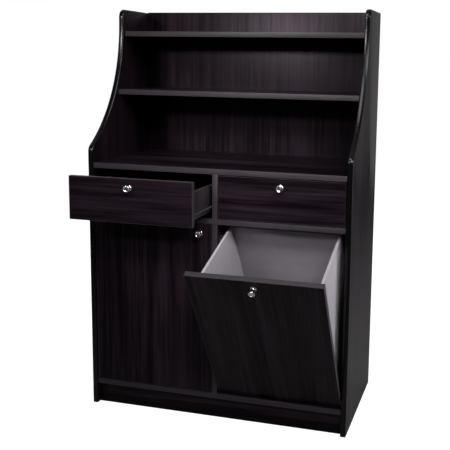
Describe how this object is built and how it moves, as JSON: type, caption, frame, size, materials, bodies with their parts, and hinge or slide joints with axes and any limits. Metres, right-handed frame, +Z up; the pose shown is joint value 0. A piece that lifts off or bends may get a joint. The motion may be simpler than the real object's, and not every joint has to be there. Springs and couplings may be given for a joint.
{
  "type": "waiter station",
  "caption": "Dark wood serving cabinet with swept sides, open shelves, a pulled-out drawer, a shut drawer, a cupboard door and a tipped-out bin.",
  "frame": {"origin": "on the floor, at the middle of the case's footprint", "axes": "+X to the right seen from the front, +Y to the back, +Z up"},
  "size_m": [0.95, 0.7992, 1.444],
  "materials": {
    "dark_woodgrain_board": "near-black woodgrain laminate, satin",
    "black_edge_moulding": "black, rounded, glossy",
    "grey_brown_edging": "dark grey-brown edge band, satin",
    "drawer_box_board": "dark laminate",
    "dark_painted_steel": "dark epoxy paint",
    "roller_plastic": "moulded nylon",
    "polished_chrome": "polished",
    "light_grey_board": "light grey laminate, matt",
    "zinc_steel": "bright zinc",
    "dark_plastic": "dark moulded plastic",
    "black_rubber": "black rubber"
  },
  "bodies": {
    "case": {"bottom_shelf": "dark_woodgrain_board", "case_edgings": "grey_brown_edging", "case_rails": "dark_painted_steel", "cupboard_shelf": "dark_woodgrain_board", "drawer_shelf": "dark_woodgrain_board", "front_plinth": "dark_woodgrain_board", "left_edge_moulding": "black_edge_moulding", "left_side_panel": "dark_woodgrain_board", "lower_back": "dark_woodgrain_board", "lower_divider": "dark_woodgrain_board", "magnetic_catches": "dark_plastic", "middle_shelf": "dark_woodgrain_board", "pivot_bushes": "dark_plastic", "plinth_bearer": "dark_woodgrain_board", "rear_plinth": "dark_woodgrain_board", "right_edge_moulding": "black_edge_moulding", "right_side_panel": "dark_woodgrain_board", "shelf_edgings": "grey_brown_edging", "shelf_pins": "zinc_steel", "stop_bolts": "zinc_steel", "stop_buffers": "black_rubber", "top_shelf": "dark_woodgrain_board", "upper_back": "dark_woodgrain_board", "upper_back_edging": "black_edge_moulding", "upper_divider": "dark_woodgrain_board", "worktop": "dark_woodgrain_board"},
    "left_drawer": {"left_drawer_back": "drawer_box_board", "left_drawer_bottom": "drawer_box_board", "left_drawer_front": "dark_woodgrain_board", "left_drawer_knob": "polished_chrome", "left_drawer_left_side": "drawer_box_board", "left_drawer_right_side": "drawer_box_board", "left_drawer_slide_rails": "dark_painted_steel"},
    "left_slide_rollers": {"left_drawer_slide_rollers": "roller_plastic"},
    "left_case_rollers": {"left_drawer_case_rollers": "roller_plastic"},
    "right_drawer": {"right_drawer_back": "drawer_box_board", "right_drawer_bottom": "drawer_box_board", "right_drawer_front": "dark_woodgrain_board", "right_drawer_knob": "polished_chrome", "right_drawer_left_side": "drawer_box_board", "right_drawer_right_side": "drawer_box_board", "right_drawer_slide_rails": "dark_painted_steel"},
    "right_slide_rollers": {"right_drawer_slide_rollers": "roller_plastic"},
    "right_case_rollers": {"right_drawer_case_rollers": "roller_plastic"},
    "door": {"door_panel": "dark_woodgrain_board", "door_knob": "polished_chrome", "door_pivot_pins": "zinc_steel", "door_strike_plate": "zinc_steel"},
    "bin": {"bin_back_wall": "light_grey_board", "bin_floor": "light_grey_board", "bin_front": "dark_woodgrain_board", "bin_knob": "polished_chrome", "bin_left_wall": "light_grey_board", "bin_pivot_pins": "zinc_steel", "bin_right_wall": "light_grey_board", "bin_stop_studs": "zinc_steel", "bin_strike_plate": "zinc_steel"}
  },
  "joints": [
    {"name": "left_drawer_slide", "type": "slide", "parent": "case", "child": "left_drawer", "axis": [0, -1, 0], "range_m": [-0.174, 0.126]},
    {"name": "left_case_rollers_turn", "type": "hinge", "parent": "case", "child": "left_case_rollers", "pos_m": [-0.23275, -0.2025, 0.7506], "axis": [1, 0, 0], "range_deg": [-907.3, 657.3]},
    {"name": "left_slide_rollers_turn", "type": "hinge", "parent": "left_drawer", "child": "left_slide_rollers", "pos_m": [-0.23275, -0.0065, 0.7503], "axis": [1, 0, 0], "range_deg": [-831.8, 602.6]},
    {"name": "right_drawer_slide", "type": "slide", "parent": "case", "child": "right_drawer", "axis": [0, -1, 0], "range_m": [0, 0.3]},
    {"name": "right_case_rollers_turn", "type": "hinge", "parent": "case", "child": "right_case_rollers", "pos_m": [0.23275, -0.2025, 0.7506], "axis": [1, 0, 0], "range_deg": [-1, 1563.6]},
    {"name": "right_slide_rollers_turn", "type": "hinge", "parent": "right_drawer", "child": "right_slide_rollers", "pos_m": [0.23275, 0.1675, 0.7503], "axis": [1, 0, 0], "range_deg": [-1, 1433.4]},
    {"name": "door_swing", "type": "hinge", "parent": "case", "child": "door", "pos_m": [-0.433, -0.228, 0.4], "axis": [0, 0, -1], "range_deg": [0, 120]},
    {"name": "bin_tilt", "type": "hinge", "parent": "case", "child": "bin", "pos_m": [0.23275, -0.228, 0.117], "axis": [1, 0, 0], "range_deg": [-32, 0]}
  ],
  "couplings": [
    {"joint": "left_case_rollers_turn", "follows": "left_drawer_slide", "rad_per_m": 90.909},
    {"joint": "left_slide_rollers_turn", "follows": "left_drawer_slide", "rad_per_m": 83.333},
    {"joint": "right_case_rollers_turn", "follows": "right_drawer_slide", "rad_per_m": 90.909},
    {"joint": "right_slide_rollers_turn", "follows": "right_drawer_slide", "rad_per_m": 83.333}
  ]
}
